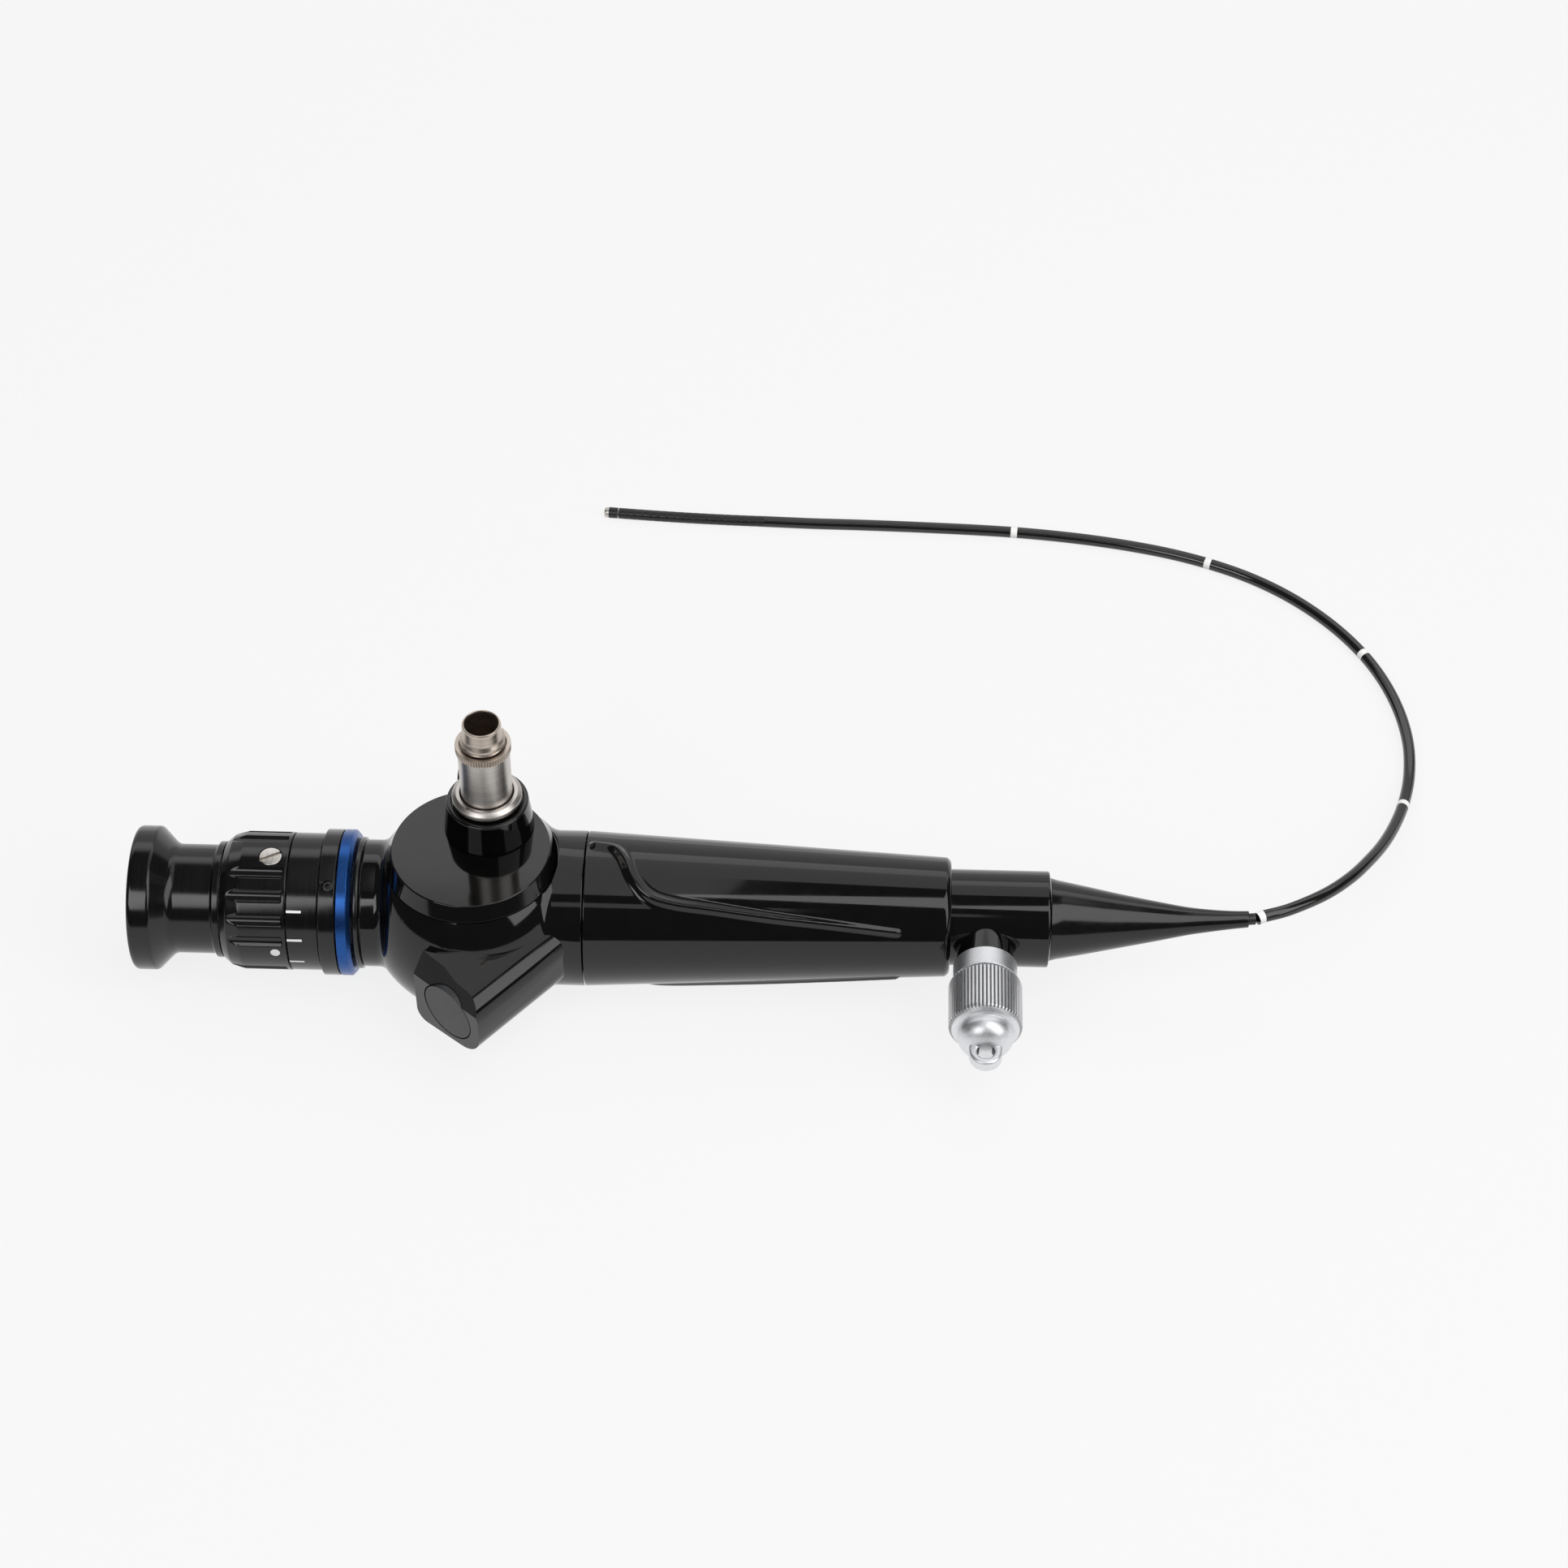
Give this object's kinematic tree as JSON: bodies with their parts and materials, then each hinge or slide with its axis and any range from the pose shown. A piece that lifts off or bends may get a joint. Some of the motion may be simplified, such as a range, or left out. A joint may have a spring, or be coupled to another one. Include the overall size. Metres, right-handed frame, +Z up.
{
  "type": "flexible endoscope",
  "caption": "Hand-held flexible endoscope with an eyepiece, a light post, a suction valve, a grip handle, a capped channel port and a thin bending insertion tube.",
  "frame": {"origin": "centre of the hub cap's flat underside, on the lever's pivot axis, where the endoscope rests on the surface", "axes": "+X along the main axis from the eyepiece to the boot, +Z up along the light post, -Y along the channel port"},
  "size_m": [0.2904, 0.1921, 0.0681],
  "materials": {
    "satin_black": "satin black anodised",
    "glass": "coated optical glass",
    "inner_aluminium": "plain turned",
    "dark_steel": "blackened",
    "blue_anodised": "blue anodised, satin",
    "gloss_rubber": "smooth, glossy",
    "steel": "fine turned",
    "fibre": "jacketed fibre bundle",
    "gloss_black": "high gloss black",
    "button_black": "satin black",
    "brass": "plain turned",
    "inner_polymer": "smooth tube",
    "aluminium": "bright satin",
    "seal_rubber": "smooth",
    "boot_rubber": "semi-gloss",
    "tube_black": "smooth, glossy",
    "sheath_rubber": "matte"
  },
  "bodies": {
    "root": {"eyecup": "satin_black", "eyepiece_window": "glass", "eyepiece_tube": "inner_aluminium", "scale_barrel": "satin_black", "clamp_ring": "satin_black", "clamp_screw": "dark_steel", "blue_ring": "blue_anodised", "sealing_ring": "gloss_rubber", "image_guide_mount": "inner_aluminium", "image_guide": "fibre", "control_housing": "gloss_black", "side_cover": "gloss_black", "light_post_socket": "gloss_black", "light_post_flange": "steel", "light_post": "steel", "knurled_collar": "steel", "light_guide_bundle": "fibre", "bearing_plate": "brass", "hub_cap": "steel", "stud_bridge": "brass", "coil_pipe_up": "steel", "coil_pipe_down": "steel", "chassis_tube": "inner_aluminium", "valve_seat": "steel", "valve_spring": "steel", "suction_tube": "inner_polymer", "grip_handle": "gloss_black", "port_housing": "gloss_black", "port_fitting": "aluminium", "channel_tube": "inner_polymer", "boot": "boot_rubber", "tube_ferrule": "steel", "insertion_tube": "tube_black", "bending_sheath": "sheath_rubber"},
    "dioptre": {"dioptre_ring": "satin_black", "dioptre_screw": "steel"},
    "ocular": {"ocular_cell": "satin_black", "ocular_lens": "glass"},
    "lever": {"lever": "satin_black", "lever_shaft": "steel", "wire_drum": "inner_aluminium"},
    "wire_up": {"pull_wire_up": "steel"},
    "wire_down": {"pull_wire_down": "steel"},
    "valve": {"valve_button": "button_black"},
    "seal": {"cap_seal": "seal_rubber"},
    "cap": {"channel_cap": "aluminium"},
    "bend_1": {"bend_link_1": "steel"},
    "bend_2": {"bend_link_2": "steel"},
    "bend_3": {"bend_link_3": "steel"},
    "bend_4": {"bend_link_4": "steel"},
    "bend_5": {"bend_link_5": "steel"},
    "bend_6": {"bend_link_6": "steel"},
    "bend_7": {"bend_link_7": "steel"},
    "bend_8": {"bend_link_8": "steel", "distal_tip": "steel", "objective_lens": "glass"}
  },
  "joints": [
    {"name": "dioptre_turn", "type": "hinge", "parent": "root", "child": "dioptre", "pos_m": [-0.047, 0, 0.0175], "axis": [1, 0, 0], "range_deg": [-60, 60]},
    {"name": "ocular_slide", "type": "slide", "parent": "root", "child": "ocular", "axis": [1, 0, 0], "range_m": [-0.0015, 0.0015]},
    {"name": "lever_turn", "type": "hinge", "parent": "root", "child": "lever", "pos_m": [0, 0, 0.002], "axis": [0, 0, 1], "range_deg": [-30, 30], "deforming": ["bending_sheath"]},
    {"name": "wire_up_slide", "type": "slide", "parent": "root", "child": "wire_up", "axis": [0.9983, -0.0494, 0.0292], "range_m": [-0.005, 0.005]},
    {"name": "wire_down_slide", "type": "slide", "parent": "root", "child": "wire_down", "axis": [0.9983, 0.0494, 0.0292], "range_m": [-0.005, 0.005]},
    {"name": "valve_press", "type": "slide", "parent": "root", "child": "valve", "axis": [0.6428, 0.766, 0], "range_m": [0, 0.002], "stiffness_N_per_m": 300, "springref_m": -0.002, "deforming": ["valve_spring"]},
    {"name": "seal_slide", "type": "slide", "parent": "root", "child": "seal", "axis": [0, -1, 0], "range_m": [0, 0.0025]},
    {"name": "cap_turn", "type": "hinge", "parent": "seal", "child": "cap", "pos_m": [0.1129, -0.03, 0.0175], "axis": [0, -1, 0], "range_deg": [0, 360]},
    {"name": "bend_1_turn", "type": "hinge", "parent": "root", "child": "bend_1", "pos_m": [0.0583, 0.14581, 0.0015], "axis": [0, 0, 1], "range_deg": [-16.25, 16.25]},
    {"name": "bend_2_turn", "type": "hinge", "parent": "bend_1", "child": "bend_2", "pos_m": [0.05375, 0.14592, 0.0015], "axis": [0, 0, 1], "range_deg": [-16.25, 16.25]},
    {"name": "bend_3_turn", "type": "hinge", "parent": "bend_2", "child": "bend_3", "pos_m": [0.0492, 0.14607, 0.0015], "axis": [0, 0, 1], "range_deg": [-16.25, 16.25]},
    {"name": "bend_4_turn", "type": "hinge", "parent": "bend_3", "child": "bend_4", "pos_m": [0.04466, 0.14625, 0.0015], "axis": [0, 0, 1], "range_deg": [-16.25, 16.25]},
    {"name": "bend_5_turn", "type": "hinge", "parent": "bend_4", "child": "bend_5", "pos_m": [0.04011, 0.14647, 0.0015], "axis": [0, 0, 1], "range_deg": [-16.25, 16.25]},
    {"name": "bend_6_turn", "type": "hinge", "parent": "bend_5", "child": "bend_6", "pos_m": [0.03557, 0.14672, 0.0015], "axis": [0, 0, 1], "range_deg": [-16.25, 16.25]},
    {"name": "bend_7_turn", "type": "hinge", "parent": "bend_6", "child": "bend_7", "pos_m": [0.03103, 0.14701, 0.0015], "axis": [0, 0, 1], "range_deg": [-16.25, 16.25]},
    {"name": "bend_8_turn", "type": "hinge", "parent": "bend_7", "child": "bend_8", "pos_m": [0.02649, 0.14733, 0.0015], "axis": [0, 0, 1], "range_deg": [-16.25, 16.25]}
  ],
  "couplings": [
    {"joint": "ocular_slide", "follows": "dioptre_turn", "m_per_rad": 0.001432},
    {"joint": "wire_up_slide", "follows": "lever_turn", "m_per_rad": -0.0095},
    {"joint": "wire_down_slide", "follows": "lever_turn", "m_per_rad": 0.0095},
    {"joint": "seal_slide", "follows": "cap_turn", "m_per_rad": 0.0003975},
    {"joint": "bend_1_turn", "follows": "lever_turn", "ratio": 0.5416},
    {"joint": "bend_2_turn", "follows": "lever_turn", "ratio": 0.5416},
    {"joint": "bend_3_turn", "follows": "lever_turn", "ratio": 0.5416},
    {"joint": "bend_4_turn", "follows": "lever_turn", "ratio": 0.5416},
    {"joint": "bend_5_turn", "follows": "lever_turn", "ratio": 0.5416},
    {"joint": "bend_6_turn", "follows": "lever_turn", "ratio": 0.5416},
    {"joint": "bend_7_turn", "follows": "lever_turn", "ratio": 0.5416},
    {"joint": "bend_8_turn", "follows": "lever_turn", "ratio": 0.5416}
  ]
}
